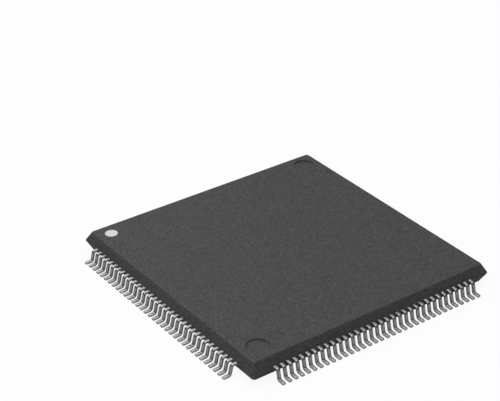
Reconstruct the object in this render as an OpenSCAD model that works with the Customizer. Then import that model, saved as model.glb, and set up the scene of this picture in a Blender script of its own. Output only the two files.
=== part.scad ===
// Quad flat pack chip: a low, square moulded package with gull-wing leads on all four sides.
// The frame has its origin on the seating plane, under the middle of the package, with +Z up.
// The dot marks the corner at -X, +Y. Leads are counted from it down the -X side, then anticlockwise.

/* [Body] */
// Width of the square body across its parting edges
body_size = 20; // [19:0.1:24]
// Height of the moulded body
body_thickness = 1.4; // [1.2:0.05:2]
// Clearance between the body and the board under it
standoff = 0.1; // [0.05:0.01:0.2]
// Lean of the side walls away from vertical, above and below the parting edge
draft_angle = 28; // [5:1:32]
// Leg of the flat across each vertical corner of the body
corner_flat = 0.15; // [0.1:0.05:0.4]

/* [Marks in the top face] */
// Diameter of the dot at the first lead
dot_diameter = 0.9; // [0.6:0.05:1.4]
// Distance from the parting edges to the middle of the dot
dot_inset = 1.4; // [1.2:0.05:2]
// Depth of the dimple that holds the dot's ink
dot_depth = 0.05; // [0.04:0.01:0.1]
// Thickness of the ink in the dimple
ink_thickness = 0.03; // [0.01:0.01:0.03]
// Diameter of the two round ejector marks
ejector_diameter = 1.6; // [1:0.1:2]
// Distance from the parting edges to the middle of an ejector mark
ejector_inset = 1.65; // [1.4:0.05:2.4]
// Depth of an ejector mark
ejector_depth = 0.13; // [0.05:0.01:0.15]

/* [Outer leads] */
// Leads on each of the four sides
leads_per_side = 34; // [24:2:36]
// Spacing of the leads, centre to centre
lead_pitch = 0.5; // [0.4:0.01:0.52]
// Width of a formed lead
lead_width = 0.24; // [0.17:0.01:0.27]
// Thickness of the whole lead frame
frame_thickness = 0.145; // [0.1:0.001:0.15]
// Distance from the body's parting edge to the tip of a lead
lead_reach = 1; // [0.9:0.05:1.4]
// Distance from the parting edge to the corner of a lead's upper bend
shoulder_length = 0.32; // [0.28:0.01:0.4]
// Lean of a lead's leg away from vertical
leg_lean = 12; // [2:1:16]
// Inside radius of both bends of a lead
bend_radius = 0.1; // [0.08:0.01:0.12]

/* [Inner lead frame] */
// Straight stretch of a finger inside the body wall
finger_straight = 0.7; // [0.5:0.05:1]
// Spacing of the finger tips around the die paddle
finger_tip_pitch = 0.21; // [0.18:0.01:0.22]
// Width of a finger at its tip
finger_tip_width = 0.11; // [0.08:0.01:0.13]
// Gap between the die paddle and the finger tips
finger_gap = 0.8; // [0.6:0.05:1.2]
// Width of the four bars that hold the paddle
tie_bar_width = 0.2; // [0.15:0.01:0.3]
// Compound left between the end of a tie bar and the flat on the body's corner
tie_bar_cover = 0.15; // [0.15:0.05:0.5]
// Drop of the die paddle below the plane of the leads
paddle_drop = 0.22; // [0.15:0.01:0.3]
// Length along a tie bar of the slope that makes the drop
drop_run = 0.35; // [0.2:0.05:0.6]
// Flat stretch of a tie bar between the paddle and the slope
drop_start = 0.3; // [0.2:0.05:0.6]

/* [Lead tape] */
// Distance from the parting edges to the outside of the tape ring
tape_inset = 2.4; // [2:0.1:3]
// Width of the tape
tape_width = 1; // [0.6:0.1:1.4]
// Thickness of the tape
tape_thickness = 0.075; // [0.05:0.005:0.1]

/* [Die and bond wires] */
// Width of the square silicon die
die_size = 5.5; // [5.2:0.1:6.4]
// Thickness of the die
die_thickness = 0.28; // [0.2:0.01:0.3]
// Margin of the paddle around the die
paddle_margin = 0.75; // [0.5:0.05:1]
// Thickness of the adhesive under the die
adhesive_thickness = 0.03; // [0.02:0.005:0.05]
// Margin of the adhesive around the die
adhesive_margin = 0.15; // [0.05:0.05:0.3]
// Spacing of the bond pads along an edge of the die
pad_pitch = 0.14; // [0.1:0.01:0.145]
// Distance from the die's edge to the middle of a bond pad
pad_inset = 0.15; // [0.1:0.01:0.2]
// Thickness of a bond wire
wire_thickness = 0.03; // [0.02:0.005:0.04]
// Width of the ball that a wire starts from
ball_width = 0.08; // [0.06:0.01:0.09]
// Height of that ball
ball_height = 0.02; // [0.01:0.005:0.03]
// Height of a wire's loop above the die
loop_height = 0.16; // [0.1:0.01:0.2]
// Distance from a finger's tip to the end of its wire
stitch_inset = 0.25; // [0.15:0.05:0.4]
// Length of wire pressed flat on the finger
stitch_length = 0.1; // [0.05:0.01:0.12]

/* [Hidden] */
$fn = 64;

// Turn about Z that takes the front side, which faces -Y, to each of the four sides
LEFT = -90;
FRONT = 0;
RIGHT = 90;
BACK = 180;

// Heights above the seating plane
body_bottom = standoff;
body_top = standoff + body_thickness;
parting_z = standoff + body_thickness / 2;
finger_top = parting_z + frame_thickness / 2;
paddle_z = parting_z - paddle_drop;
adhesive_bottom = paddle_z + frame_thickness / 2;
die_bottom = adhesive_bottom + adhesive_thickness;
die_top = die_bottom + die_thickness;

// Distances from the middle of the package
wall = body_size / 2;
wall_lean = body_thickness / 2 * tan(draft_angle);
paddle_half = die_size / 2 + paddle_margin;
finger_tip = paddle_half + finger_gap;
fan_start = wall - finger_straight;
stitch_r = finger_tip + stitch_inset;
pad_r = die_size / 2 - pad_inset;
tape_outer = wall - tape_inset;

// Each bend of the frame is drawn with this many flats
BEND_STEPS = 6;

// ---- Outlines of bent strip ----

function unit(v) = v / norm(v);
function left_of(v) = [-v[1], v[0]];

// Points of the arc of radius r that rounds the corner b between a and c
function arc_at(a, b, c, r) =
    let(
        u = unit(a - b),
        v = unit(c - b),
        half = acos(u * v) / 2,
        centre = b + unit(u + v) * r / sin(half),
        start = b + u * r / tan(half) - centre,
        turn = (180 - 2 * half) * sign(cross(v, u))
    )
    [for (k = [0:BEND_STEPS])
        let(angle = atan2(start[1], start[0]) + turn * k / BEND_STEPS)
        centre + r * [cos(angle), sin(angle)]];

// The path with each of its inner corners rounded
function rounded(path, r) =
    [for (i = [0:len(path) - 1])
        each i == 0 || i == len(path) - 1
            ? [path[i]]
            : arc_at(path[i - 1], path[i], path[i + 1], r)];

// Where an edge at distance d to the left of the path passes its point i
function edge_point(path, i, d) =
    let(
        before = unit(path[max(i, 1)] - path[max(i, 1) - 1]),
        after = unit(path[min(i, len(path) - 2) + 1] - path[min(i, len(path) - 2)]),
        middle = unit(left_of(before) + left_of(after))
    )
    path[i] + middle * d / (middle * left_of(after));

// Outline of a strip of the given thickness that follows the path
function strip(path, thickness) =
    let(last = len(path) - 1)
    concat(
        [for (i = [0:last]) edge_point(path, i, thickness / 2)],
        [for (i = [last:-1:0]) edge_point(path, i, -thickness / 2)]
    );

// A strip standing on the front side: its path gives distance towards -Y and height
module standing_strip(path, thickness, width) {
    rotate([90, 0, -90])
        linear_extrude(width, center = true)
            polygon(strip(path, thickness));
}

// ---- Leads ----

// Centre line of a formed lead, as distance from the middle and height
function lead_path() =
    let(
        foot_z = frame_thickness / 2,
        heel = wall + shoulder_length + (parting_z - foot_z) * tan(leg_lean)
    )
    rounded(
        [
            [wall - finger_straight / 2, parting_z],
            [wall + shoulder_length, parting_z],
            [heel, foot_z],
            [wall + lead_reach, foot_z],
        ],
        bend_radius + frame_thickness / 2
    );

// Number of pitches between lead i and the middle of its side
function place(i) = i - (leads_per_side - 1) / 2;

// How far along its side the centre of finger i lies, at distance r from the middle
function finger_x(i, r) =
    place(i) * (finger_tip_pitch
        + (lead_pitch - finger_tip_pitch) * (r - finger_tip) / (fan_start - finger_tip));

// Flat finger inside the body, fanned in from the wall to its tip
module finger(i) {
    outer = place(i) * lead_pitch;
    inner = place(i) * finger_tip_pitch;
    translate([0, 0, parting_z - frame_thickness / 2])
        linear_extrude(frame_thickness)
            polygon([
                [outer - lead_width / 2, -wall],
                [outer + lead_width / 2, -wall],
                [outer + lead_width / 2, -fan_start],
                [inner + finger_tip_width / 2, -finger_tip],
                [inner - finger_tip_width / 2, -finger_tip],
                [outer - lead_width / 2, -fan_start],
            ]);
}

module lead(i) {
    finger(i);
    translate([place(i) * lead_pitch, 0, 0])
        standing_strip(lead_path(), frame_thickness, lead_width);
}

module lead_row(side) {
    color([0.62, 0.62, 0.61])
        rotate(side)
            for (i = [0:leads_per_side - 1]) lead(i);
}

module leads_left() { lead_row(LEFT); }
module leads_front() { lead_row(FRONT); }
module leads_right() { lead_row(RIGHT); }
module leads_back() { lead_row(BACK); }

// ---- Paddle, die and tape ----

// Centre line of a tie bar, from inside the paddle to just inside the body's corner
function tie_bar_path() =
    let(
        paddle_corner = paddle_half * sqrt(2),
        slope = paddle_corner + drop_start,
        bar_end = (body_size - corner_flat) / sqrt(2) - tie_bar_cover
    )
    rounded(
        [
            [paddle_corner - 2 * tie_bar_width, paddle_z],
            [slope, paddle_z],
            [slope + drop_run, parting_z],
            [bar_end, parting_z],
        ],
        bend_radius + frame_thickness / 2
    );

module die_paddle() {
    color([0.72, 0.45, 0.3]) {
        translate([0, 0, paddle_z])
            cube([2 * paddle_half, 2 * paddle_half, frame_thickness], center = true);
        for (turn = [45:90:315])
            rotate(turn)
                standing_strip(tie_bar_path(), frame_thickness, tie_bar_width);
    }
}

// A square plate centred over the middle of the package
module plate(size, bottom, thickness) {
    translate([-size / 2, -size / 2, bottom])
        cube([size, size, thickness]);
}

module die_adhesive() {
    color([0.75, 0.75, 0.78])
        plate(die_size + 2 * adhesive_margin, adhesive_bottom, adhesive_thickness);
}

module silicon_die() {
    color([0.25, 0.27, 0.32])
        plate(die_size, die_bottom, die_thickness);
}

module lead_tape() {
    color([0.75, 0.45, 0.1])
        translate([0, 0, finger_top])
            linear_extrude(tape_thickness)
                difference() {
                    square(2 * tape_outer, center = true);
                    square(2 * (tape_outer - tape_width), center = true);
                }
}

// ---- Bond wires ----

// A wire from its pad on the die to its finger, with the ball that starts it
module wire(i) {
    pad = [place(i) * pad_pitch, -pad_r];
    stitch = [finger_x(i, stitch_r), -stitch_r];
    span = norm(stitch - pad);
    heading = atan2(stitch[0] - pad[0], pad[1] - stitch[1]);
    wire_z = finger_top + wire_thickness / 2;
    translate([pad[0], pad[1], 0])
        rotate(heading) {
            standing_strip(
                [
                    [0, die_top + ball_height / 2],
                    [0, die_top + loop_height],
                    [span - stitch_length, wire_z],
                    [span, wire_z],
                ],
                wire_thickness,
                wire_thickness
            );
            translate([0, 0, die_top])
                cylinder(d = ball_width, h = ball_height, $fn = 8);
        }
}

module wire_row(side) {
    color([0.9, 0.72, 0.3])
        rotate(side)
            for (i = [0:leads_per_side - 1]) wire(i);
}

module wires_left() { wire_row(LEFT); }
module wires_front() { wire_row(FRONT); }
module wires_right() { wire_row(RIGHT); }
module wires_back() { wire_row(BACK); }

// ---- Body ----

// A bar along Y with the body's six-sided section: widest at the parting edge
module drafted_bar(half_width, lean) {
    rotate([90, 0, 0])
        linear_extrude(2 * body_size, center = true)
            polygon([
                [-half_width, parting_z],
                [-half_width + lean, body_bottom],
                [half_width - lean, body_bottom],
                [half_width, parting_z],
                [half_width - lean, body_top],
                [-half_width + lean, body_top],
            ]);
}

module body_form() {
    intersection() {
        drafted_bar(wall, wall_lean);
        rotate(90) drafted_bar(wall, wall_lean);
        for (turn = [45, 135])
            rotate(turn)
                drafted_bar((body_size - corner_flat) / sqrt(2), wall_lean * sqrt(2));
    }
}

// A round sinking of the given depth in the top face
module top_recess(at, diameter, depth) {
    translate([at[0], at[1], body_top - depth])
        cylinder(d = diameter, h = depth + 1);
}

module pin_one_dot() {
    color([0.88, 0.88, 0.87])
        translate([dot_inset - wall, wall - dot_inset, body_top - dot_depth])
            cylinder(d = dot_diameter, h = ink_thickness);
}

// Everything that the moulding compound is cast around
module cast_in() {
    for (side = [LEFT, FRONT, RIGHT, BACK]) {
        lead_row(side);
        wire_row(side);
    }
    die_paddle();
    lead_tape();
    die_adhesive();
    silicon_die();
}

module mold_body() {
    ejector = wall - ejector_inset;
    color([0.31, 0.31, 0.31])
        difference() {
            body_form();
            top_recess([dot_inset - wall, wall - dot_inset], dot_diameter, dot_depth);
            top_recess([-ejector, -ejector], ejector_diameter, ejector_depth);
            top_recess([ejector, ejector], ejector_diameter, ejector_depth);
            cast_in();
        }
}

mold_body();
pin_one_dot();
leads_left();
leads_front();
leads_right();
leads_back();
die_paddle();
lead_tape();
die_adhesive();
silicon_die();
wires_left();
wires_front();
wires_right();
wires_back();
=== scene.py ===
"""Quad flat pack chip: the finished surfaces of the moulded body, its leads and its dot."""
from math import cos, pi, radians, sin, tan

import bmesh
import bpy
from mathutils import Matrix, Vector


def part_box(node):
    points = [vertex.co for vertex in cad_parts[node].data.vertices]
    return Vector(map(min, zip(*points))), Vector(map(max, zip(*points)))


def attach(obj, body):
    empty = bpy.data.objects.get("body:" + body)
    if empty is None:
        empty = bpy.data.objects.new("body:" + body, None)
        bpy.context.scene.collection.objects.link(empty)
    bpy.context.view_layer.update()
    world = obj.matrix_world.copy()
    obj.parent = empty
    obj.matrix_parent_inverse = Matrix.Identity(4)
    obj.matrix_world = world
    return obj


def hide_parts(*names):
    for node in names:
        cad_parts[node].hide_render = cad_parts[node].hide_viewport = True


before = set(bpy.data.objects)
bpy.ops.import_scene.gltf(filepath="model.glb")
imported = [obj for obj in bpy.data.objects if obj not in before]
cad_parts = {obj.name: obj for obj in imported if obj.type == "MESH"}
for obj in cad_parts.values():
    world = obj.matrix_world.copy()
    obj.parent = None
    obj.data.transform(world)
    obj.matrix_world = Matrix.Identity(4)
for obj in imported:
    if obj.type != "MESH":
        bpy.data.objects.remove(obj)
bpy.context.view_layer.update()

MM = 0.001

# Body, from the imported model
BODY_LOW, BODY_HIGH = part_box("mold_body")
BODY_SIZE = BODY_HIGH.x - BODY_LOW.x
BODY_HEIGHT = BODY_HIGH.z - BODY_LOW.z
PARTING_Z = (BODY_HIGH.z + BODY_LOW.z) / 2
# Lean of the walls away from vertical, above and below the parting edge
DRAFT = radians(28)
# Leg of the flat across each vertical corner
CORNER_FLAT = 0.15 * MM
# Rounds of the body's edges
TOP_ROUND = 0.12 * MM
BOTTOM_ROUND = 0.04 * MM
CORNER_ROUND = 0.03 * MM
PARTING_ROUND = 0.02 * MM

# Marks in the top face
CIRCLE_STEPS = 72
EJECTOR_RADIUS = 0.8 * MM
EJECTOR_INSET = 1.65 * MM
EJECTOR_DEPTH = 0.13 * MM
RIM_ROUND = 0.01 * MM
DOT_LOW, DOT_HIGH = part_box("pin_one_dot")
DOT_RADIUS = (DOT_HIGH.x - DOT_LOW.x) / 2
DOT_CENTRE = (DOT_LOW + DOT_HIGH) / 2
# Height that the ink climbs at the dimple's wall
INK_LIP = 0.012 * MM
# The ink's surface from the wall inwards: width of each step in dot radii, and its fall in lips
INK_STEPS = ((0.03, 0.2), (0.05, 0.5), (0.08, 0.25), (0.15, 0.05))

# Leads: each row is made on the front side, which faces -Y, and turned to its own
SIDES = {"leads_left": -90, "leads_front": 0, "leads_right": 90, "leads_back": 180}
LEADS_PER_SIDE = 34
PITCH = 0.5 * MM
LEAD_WIDTH = 0.24 * MM
LEAD_THICKNESS = 0.145 * MM
LEAD_EDGE_ROUND = 0.018 * MM
# Distance from the middle of the package to the tip of a lead
LEAD_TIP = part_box("leads_right")[1].x
# Distance from the parting edge to the corner of the upper bend
SHOULDER = 0.32 * MM
LEG_LEAN = radians(12)
# Bends and foot are measured at the middle of the strip's thickness
BEND_RADIUS = 0.1 * MM + LEAD_THICKNESS / 2
BEND_STEPS = 8
FOOT_Z = LEAD_THICKNESS / 2

# Fingers, which run on from the leads inside the body
FINGER_START = BODY_SIZE / 2 - 0.7 * MM
FINGER_TIP = -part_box("leads_front")[1].y
FINGER_TIP_PITCH = 0.21 * MM
FINGER_TIP_WIDTH = 0.11 * MM

# Points closer than this count as level, or as on a circle
NEAR = 0.002 * MM
# Points closer than this are one point
MERGED = 0.0001 * MM

# The table's face is this far under the feet, and reaches this far to each side
TABLE_GAP = 0.002 * MM
TABLE_REACH = 2
# Glow of the table, and how much of it camera rays and reflections see in place of its surface
TABLE_GLOW = 1.015
GLOW_SEEN = 0.91
GLOW_REFLECTED = 0.15


# ---- Pieces and meshes ----

def object_from(bm, name):
    """Turns a finished bmesh into an object in the scene."""
    mesh = bpy.data.meshes.new(name)
    bm.to_mesh(mesh)
    bm.free()
    made = bpy.data.objects.new(name, mesh)
    bpy.context.scene.collection.objects.link(made)
    return made


def piece_from(bm, name, material, replaced):
    """Turns a finished bmesh into a piece that stands for one CAD node."""
    piece = object_from(bm, name)
    piece.data.materials.append(material)
    for polygon in piece.data.polygons:
        polygon.use_smooth = True
    normals = piece.modifiers.new("flat faces stay flat", "WEIGHTED_NORMAL")
    normals.keep_sharp = True
    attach(piece, "root")
    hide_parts(replaced)
    return piece


def bevelled(bm, edges, width, segments=3):
    """Gives the edges a flat with one segment, or a round with more."""
    bmesh.ops.bevel(
        bm, geom=edges, offset=width, offset_type="OFFSET", segments=segments,
        profile=0.5, affect="EDGES", material=-1, clamp_overlap=True,
    )


def extruded(bm, face, step):
    """Extrudes the face, moves the new one by the matrix and returns it."""
    grown = bmesh.ops.extrude_face_region(bm, geom=[face])["geom"]
    end = next(part for part in grown if isinstance(part, bmesh.types.BMFace))
    bmesh.ops.transform(bm, matrix=step, verts=end.verts)
    return end


def edges_where(bm, test):
    """Edges of which both ends pass the test."""
    return [edge for edge in bm.edges if all(test(vert.co) for vert in edge.verts)]


# ---- Body ----

def edges_at(bm, height):
    """Edges that lie level at the height."""
    return edges_where(bm, lambda co: abs(co.z - height) < NEAR)


def edges_up_walls(bm):
    """Edges that run up a wall rather than along it."""
    return [edge for edge in bm.edges if abs(edge.verts[0].co.z - edge.verts[1].co.z) > BODY_HEIGHT / 4]


def body_form():
    """The drafted block: widest at the parting edge, with a flat on each corner and soft edges."""
    bm = bmesh.new()
    bmesh.ops.create_cube(bm, size=1)
    bmesh.ops.scale(bm, vec=(BODY_SIZE, BODY_SIZE, BODY_HEIGHT), verts=bm.verts)
    bmesh.ops.translate(bm, vec=(0, 0, PARTING_Z), verts=bm.verts)
    bmesh.ops.bisect_plane(
        bm, geom=[*bm.verts, *bm.edges, *bm.faces], plane_co=(0, 0, PARTING_Z), plane_no=(0, 0, 1),
    )
    lean = BODY_HEIGHT / 2 * tan(DRAFT)
    narrowed = 1 - 2 * lean / BODY_SIZE
    top_and_bottom = [vert for vert in bm.verts if abs(vert.co.z - PARTING_Z) > NEAR]
    bmesh.ops.scale(bm, vec=(narrowed, narrowed, 1), verts=top_and_bottom)
    bevelled(bm, edges_up_walls(bm), CORNER_FLAT * cos(DRAFT), segments=1)
    bevelled(bm, edges_up_walls(bm), CORNER_ROUND)
    bevelled(bm, edges_at(bm, BODY_LOW.z), BOTTOM_ROUND)
    bevelled(bm, edges_at(bm, BODY_HIGH.z), TOP_ROUND)
    bevelled(bm, edges_at(bm, PARTING_Z), PARTING_ROUND, segments=2)
    return bm


def bar_for(centre, radius, depth):
    """A round bar that reaches the given depth into the top face."""
    bm = bmesh.new()
    bmesh.ops.create_cone(
        bm, cap_ends=True, cap_tris=False, segments=CIRCLE_STEPS, radius1=radius, radius2=radius,
        depth=4 * depth,
    )
    bmesh.ops.translate(bm, vec=(centre.x, centre.y, BODY_HIGH.z + depth), verts=bm.verts)
    return object_from(bm, "bar")


def cut(bm, bars):
    """The bmesh less the bars, which are removed."""
    block = object_from(bm, "uncut")
    for bar in bars:
        tool = block.modifiers.new("cut", "BOOLEAN")
        tool.operation = "DIFFERENCE"
        tool.solver = "EXACT"
        tool.object = bar
    bpy.context.view_layer.update()
    result = bmesh.new()
    result.from_mesh(block.evaluated_get(bpy.context.evaluated_depsgraph_get()).data)
    for done in [block, *bars]:
        bpy.data.objects.remove(done)
    bmesh.ops.remove_doubles(result, verts=result.verts, dist=MERGED)
    return result


def rim_of(bm, centre, radius):
    """Edges of a round mark where it meets the top face."""
    return edges_where(
        bm,
        lambda co: abs(co.z - BODY_HIGH.z) < NEAR and abs((co - centre).to_2d().length - radius) < NEAR,
    )


def body_piece(material):
    """The body with its ejector marks and the dimple of the dot sunk in the top face."""
    reach = BODY_SIZE / 2 - EJECTOR_INSET
    marks = [
        (Vector((-reach, -reach, 0)), EJECTOR_RADIUS, EJECTOR_DEPTH),
        (Vector((reach, reach, 0)), EJECTOR_RADIUS, EJECTOR_DEPTH),
        (DOT_CENTRE, DOT_RADIUS, BODY_HIGH.z - DOT_LOW.z),
    ]
    bm = cut(body_form(), [bar_for(*mark) for mark in marks])
    for centre, radius, _ in marks:
        bevelled(bm, rim_of(bm, centre, radius), RIM_ROUND, segments=2)
    return piece_from(bm, "moulded_body", material, "mold_body")


def dot_piece(material):
    """Ink in the dimple, a little higher where it clings to the wall."""
    bm = bmesh.new()
    bmesh.ops.create_circle(bm, cap_ends=True, cap_tris=False, segments=CIRCLE_STEPS, radius=DOT_RADIUS)
    bmesh.ops.translate(bm, vec=(DOT_CENTRE.x, DOT_CENTRE.y, DOT_LOW.z), verts=bm.verts)
    height = DOT_HIGH.z + INK_LIP - DOT_LOW.z
    top = extruded(bm, bm.faces[:][0], Matrix.Translation((0, 0, height)))
    for width, fall in INK_STEPS:
        bmesh.ops.inset_region(bm, faces=[top], thickness=DOT_RADIUS * width, use_even_offset=True)
        bmesh.ops.translate(bm, vec=(0, 0, -INK_LIP * fall), verts=top.verts)
    bmesh.ops.recalc_face_normals(bm, faces=bm.faces)
    return piece_from(bm, "dot_ink", material, "pin_one_dot")


# ---- Leads ----

def bent(bm, face, centre, angle):
    """Sweeps the face round a bend about the X direction."""
    turned = bmesh.ops.spin(
        bm, geom=[face], cent=centre, axis=(1, 0, 0), angle=angle, steps=BEND_STEPS, use_merge=False,
        use_normal_flip=False, use_duplicate=False,
    )["geom_last"]
    return next(part for part in turned if isinstance(part, bmesh.types.BMFace))


def lead_section(bm):
    """Rounded section of a lead, standing across it where its finger starts."""
    grid = bmesh.ops.create_grid(bm, x_segments=1, y_segments=1, size=0.5)
    bmesh.ops.scale(bm, vec=(LEAD_WIDTH, LEAD_THICKNESS, 1), verts=grid["verts"])
    bmesh.ops.rotate(bm, cent=(0, 0, 0), matrix=Matrix.Rotation(pi / 2, 3, "X"), verts=grid["verts"])
    bmesh.ops.translate(bm, vec=(0, -FINGER_START, PARTING_Z), verts=grid["verts"])
    bmesh.ops.bevel(
        bm, geom=grid["verts"], offset=LEAD_EDGE_ROUND, offset_type="OFFSET", segments=2, profile=0.5,
        affect="VERTICES", material=-1, clamp_overlap=True,
    )
    return bm.faces[:][0]


def formed_lead():
    """One lead with its straight stretch, its two bends and its foot, at the middle of the front side."""
    bm = bmesh.new()
    wall = BODY_SIZE / 2
    drop = PARTING_Z - FOOT_Z
    turn = pi / 2 - LEG_LEAN
    cut_back = BEND_RADIUS * tan(turn / 2)
    upper = wall + SHOULDER - cut_back
    lower = wall + SHOULDER + drop * tan(LEG_LEAN) + cut_back
    leg = drop / cos(LEG_LEAN) - 2 * cut_back
    face = lead_section(bm)
    face = extruded(bm, face, Matrix.Translation((0, FINGER_START - upper, 0)))
    face = bent(bm, face, (0, -upper, PARTING_Z - BEND_RADIUS), turn)
    face = extruded(bm, face, Matrix.Translation((0, -leg * sin(LEG_LEAN), -leg * cos(LEG_LEAN))))
    face = bent(bm, face, (0, -lower, FOOT_Z + BEND_RADIUS), -turn)
    toe = extruded(bm, face, Matrix.Translation((0, lower - LEAD_TIP, 0)))
    bevelled(bm, toe.edges[:], LEAD_EDGE_ROUND, segments=2)
    bmesh.ops.recalc_face_normals(bm, faces=bm.faces)
    return bm


def add_lead(row, lead, steps):
    """Adds a copy of the lead to its row, that many pitches from the middle, and draws out its finger."""
    before = len(row.verts)
    row.from_mesh(lead)
    row.verts.ensure_lookup_table()
    added = row.verts[before:]
    x = steps * PITCH
    bmesh.ops.translate(row, vec=(x, 0, 0), verts=added)
    faces = {face for vert in added for face in vert.link_faces}
    inner_end = max(faces, key=lambda face: face.calc_center_median().y)
    tip = Matrix.Translation((steps * FINGER_TIP_PITCH, -FINGER_TIP, 0))
    narrowing = Matrix.Scale(FINGER_TIP_WIDTH / LEAD_WIDTH, 4, (1, 0, 0))
    extruded(row, inner_end, tip @ narrowing @ Matrix.Translation((-x, FINGER_START, 0)))


def lead_row(name, turn, material):
    """All leads of one side, each with its own finger fanned in towards the die."""
    lead = bpy.data.meshes.new("lead")
    form = formed_lead()
    form.to_mesh(lead)
    form.free()
    row = bmesh.new()
    for i in range(LEADS_PER_SIDE):
        add_lead(row, lead, i - (LEADS_PER_SIDE - 1) / 2)
    bpy.data.meshes.remove(lead)
    bmesh.ops.rotate(row, cent=(0, 0, 0), matrix=Matrix.Rotation(radians(turn), 3, "Z"), verts=row.verts)
    bmesh.ops.recalc_face_normals(row, faces=row.faces)
    return piece_from(row, name + "_formed", material, name)


# ---- Finishes ----

class Number:
    """A number that varies over a surface. Arithmetic on it adds Math nodes."""

    def __init__(self, finish, socket):
        self.finish = finish
        self.socket = socket

    def maths(self, operation, other):
        node = self.finish.node("ShaderNodeMath", {"operation": operation}, {0: self, 1: other})
        return Number(self.finish, node.outputs[0])

    def __add__(self, other):
        return self.maths("ADD", other)

    def __mul__(self, other):
        return self.maths("MULTIPLY", other)

    __radd__ = __add__
    __rmul__ = __mul__


def pick(sockets, key):
    """A socket by place or name; of those that share a name, the one in use."""
    return sockets[key] if isinstance(key, int) else next(s for s in sockets if s.name == key and s.enabled)


class Finish:
    """A material under construction around one Principled shader."""

    def __init__(self, name, **constants):
        self.material = bpy.data.materials.new(name)
        self.material.use_nodes = True
        self.tree = self.material.node_tree
        self.shader = self.tree.nodes["Principled BSDF"]
        for socket, value in constants.items():
            self.shader.inputs[socket.replace("_", " ")].default_value = value
        self.place = self.node("ShaderNodeTexCoord", {}, {}).outputs["Object"]

    def node(self, kind, settings, inputs):
        """Adds a node, applies its settings, then fills its sockets with values or links."""
        node = self.tree.nodes.new(kind)
        for key, value in settings.items():
            setattr(node, key, value)
        for key, value in inputs.items():
            self.fill(pick(node.inputs, key), value)
        return node

    def fill(self, socket, value):
        """Links a socket or a Number to the socket, or sets it to a plain value."""
        value = getattr(value, "socket", value)
        if isinstance(value, bpy.types.NodeSocket):
            self.tree.links.new(value, socket)
        else:
            socket.default_value = value

    def noise(self, grain, detail=2.0, roughness=0.5):
        """Noise from 0 to 1 whose lumps are about grain metres across."""
        inputs = {"Vector": self.place, "Scale": 1 / grain, "Detail": detail, "Roughness": roughness}
        return Number(self, self.node("ShaderNodeTexNoise", {}, inputs).outputs[0])

    def spread(self, number, low, high):
        """The number stretched so that low becomes 0 and high becomes 1."""
        inputs = {"Value": number, "From Min": low, "From Max": high}
        return Number(self, self.node("ShaderNodeMapRange", {}, inputs).outputs[0])

    def blend(self, factor, first, second):
        """A colour between two others, each a tuple or the result of another blend."""
        inputs = {"Factor": factor}
        for key, tone in (("A", first), ("B", second)):
            inputs[key] = (*tone, 1) if isinstance(tone, tuple) else tone
        node = self.node("ShaderNodeMix", {"data_type": "RGBA"}, inputs)
        return pick(node.outputs, "Result")

    def drive(self, socket, value):
        """Feeds one of the shader's sockets."""
        self.fill(self.shader.inputs[socket], value)

    def bump(self, height, depth, strength):
        """Raises the surface by up to depth metres where height is 1."""
        inputs = {"Height": height, "Distance": depth, "Strength": strength}
        self.drive("Normal", self.node("ShaderNodeBump", {}, inputs).outputs["Normal"])


def mold_compound():
    """Filled epoxy: a dark satin ground with fine paler and darker grains and a slight orange-peel."""
    finish = Finish("mold_compound", Specular_IOR_Level=0.3)
    grain = finish.noise(0.16 * MM, detail=3, roughness=0.6)
    fine = finish.noise(0.035 * MM, detail=2)
    cloud = finish.noise(3 * MM, detail=3)
    contrast = finish.spread(grain, 0.34, 0.66)
    ground = finish.blend(contrast, (0.04, 0.04, 0.041), (0.084, 0.084, 0.085))
    finish.drive("Base Color", finish.blend(cloud * 0.3, ground, (0.056, 0.056, 0.056)))
    finish.drive("Roughness", 0.5 + 0.2 * fine)
    finish.bump(grain * 0.6 + fine * 0.4, 0.02 * MM, 0.8)
    return finish.material


def tinned_lead():
    """Matt tin plating with a fine grain."""
    finish = Finish("tinned_lead", Metallic=1.0)
    grain = finish.noise(0.03 * MM, detail=3)
    cloud = finish.noise(0.5 * MM, detail=2)
    finish.drive("Base Color", finish.blend(cloud, (0.32, 0.32, 0.32), (0.4, 0.4, 0.395)))
    finish.drive("Roughness", 0.32 + 0.16 * grain)
    finish.bump(grain, 0.003 * MM, 0.5)
    return finish.material


def white_ink():
    """Marking ink: flat white with slight mottling."""
    finish = Finish("white_ink", Specular_IOR_Level=0.3)
    mottle = finish.noise(0.15 * MM, detail=3)
    finish.drive("Base Color", finish.blend(mottle, (0.64, 0.64, 0.635), (0.77, 0.77, 0.765)))
    finish.drive("Roughness", 0.5 + 0.15 * mottle)
    finish.bump(mottle, 0.006 * MM, 0.5)
    return finish.material


def grained(name, dark, pale, grain, roughness, depth, **constants):
    """A finish of the pieces sealed inside: two close tones, a grain and its bump."""
    finish = Finish(name, **constants)
    lumps = finish.noise(grain, detail=3)
    finish.drive("Base Color", finish.blend(lumps, dark, pale))
    finish.drive("Roughness", roughness + 0.15 * lumps)
    finish.bump(lumps, depth, 0.5)
    return finish.material


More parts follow.
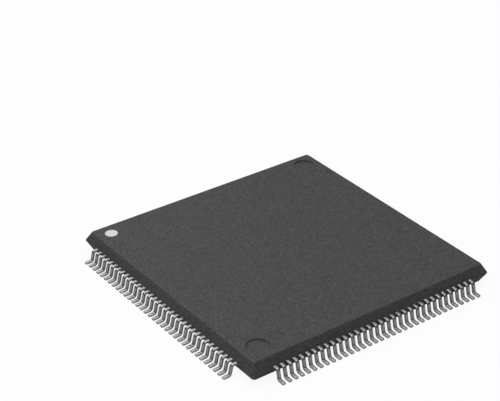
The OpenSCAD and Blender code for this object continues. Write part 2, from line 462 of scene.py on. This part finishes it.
def finish_inner_nodes():
    """Gives the CAD nodes that are sealed in the body their finishes."""
    copper = grained(
        "copper_frame", dark=(0.68, 0.33, 0.2), pale=(0.76, 0.42, 0.28), grain=0.1 * MM, roughness=0.3,
        depth=0.002 * MM, Metallic=1.0,
    )
    amber = grained(
        "amber_tape", dark=(0.5, 0.2, 0.03), pale=(0.62, 0.28, 0.05), grain=0.4 * MM, roughness=0.25,
        depth=0.002 * MM,
    )
    silver = grained(
        "silver_adhesive", dark=(0.45, 0.45, 0.47), pale=(0.6, 0.6, 0.62), grain=0.06 * MM, roughness=0.4,
        depth=0.003 * MM,
    )
    silicon = grained(
        "silicon", dark=(0.08, 0.09, 0.13), pale=(0.13, 0.14, 0.18), grain=0.3 * MM, roughness=0.12,
        depth=0.0005 * MM,
    )
    gold = grained(
        "gold_wire", dark=(0.88, 0.6, 0.2), pale=(0.95, 0.7, 0.3), grain=0.02 * MM, roughness=0.2,
        depth=0.0005 * MM, Metallic=1.0,
    )
    finishes = {
        "die_paddle": copper, "lead_tape": amber, "die_adhesive": silver, "silicon_die": silicon,
        "wires_left": gold, "wires_front": gold, "wires_right": gold, "wires_back": gold,
    }
    for node, material in finishes.items():
        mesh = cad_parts[node].data
        mesh.materials.clear()
        mesh.materials.append(material)


# ---- Studio ----

def floor():
    """A pale table that shows almost white to the camera and keeps the chip's soft shadow."""
    finish = Finish("table", Base_Color=(0.7, 0.7, 0.7, 1), Roughness=0.9, Specular_IOR_Level=0.1)
    rays = finish.node("ShaderNodeLightPath", {}, {}).outputs
    seen, glossy, through = (
        Number(finish, rays[name]) for name in ("Is Camera Ray", "Is Glossy Ray", "Is Transmission Ray")
    )
    share = seen * GLOW_SEEN + glossy * GLOW_REFLECTED + through * GLOW_REFLECTED
    glow = finish.node("ShaderNodeEmission", {}, {"Color": (1, 1, 1, 1), "Strength": TABLE_GLOW})
    mixed = finish.node(
        "ShaderNodeMixShader", {}, {0: share, 1: finish.shader.outputs["BSDF"], 2: glow.outputs[0]},
    )
    finish.fill(finish.tree.nodes["Material Output"].inputs["Surface"], mixed.outputs[0])
    bm = bmesh.new()
    bmesh.ops.create_grid(bm, x_segments=1, y_segments=1, size=TABLE_REACH)
    bmesh.ops.translate(bm, vec=(0, 0, -TABLE_GAP), verts=bm.verts)
    table = object_from(bm, "table")
    table.data.materials.append(finish.material)


def world_light(level):
    """Even white room light."""
    world = bpy.data.worlds.new("room")
    world.use_nodes = True
    background = world.node_tree.nodes["Background"]
    background.inputs["Color"].default_value = (1, 1, 1, 1)
    background.inputs["Strength"].default_value = level
    bpy.context.scene.world = world


def hang(name, data, aim, azimuth, elevation, distance):
    """Puts a lamp or camera in the scene so that it faces the aim from that bearing."""
    a, e = radians(azimuth), radians(elevation)
    away = Vector((sin(a) * cos(e), -cos(a) * cos(e), sin(e)))
    holder = bpy.data.objects.new(name, data)
    holder.matrix_world = Matrix.LocRotScale(aim + away * distance, away.to_track_quat("Z", "Y"), None)
    bpy.context.scene.collection.objects.link(holder)
    return holder


def softbox(name, azimuth, elevation, distance, size, level):
    """A square lamp that faces the middle of the chip; level sets its radiance."""
    lamp = bpy.data.lights.new(name, "AREA")
    lamp.shape = "SQUARE"
    lamp.size = size
    lamp.energy = level * pi * size * size
    hang(name, lamp, Vector((0, 0, 0)), azimuth, elevation, distance)


def camera():
    """A long lens from the front left, a third of a right angle up."""
    lens = bpy.data.cameras.new("camera")
    lens.sensor_fit = "HORIZONTAL"
    lens.sensor_width = 36
    lens.lens = 113.2
    lens.clip_start = 1 * MM
    lens.clip_end = 10
    bpy.context.scene.camera = hang(
        "camera", lens, aim=Vector((3.440, 8.576, 0)) * MM, azimuth=-36.244, elevation=30.305,
        distance=117.18 * MM,
    )


bpy.context.scene.view_settings.view_transform = "Standard"
camera()
body_piece(mold_compound())
dot_piece(white_ink())
tin = tinned_lead()
for row_name, row_turn in SIDES.items():
    lead_row(row_name, row_turn, tin)
finish_inner_nodes()
floor()
world_light(0.02)
softbox("overhead", azimuth=-120, elevation=84, distance=0.2, size=0.34, level=1.75)
softbox("back", azimuth=178, elevation=32, distance=0.14, size=0.08, level=1.8)
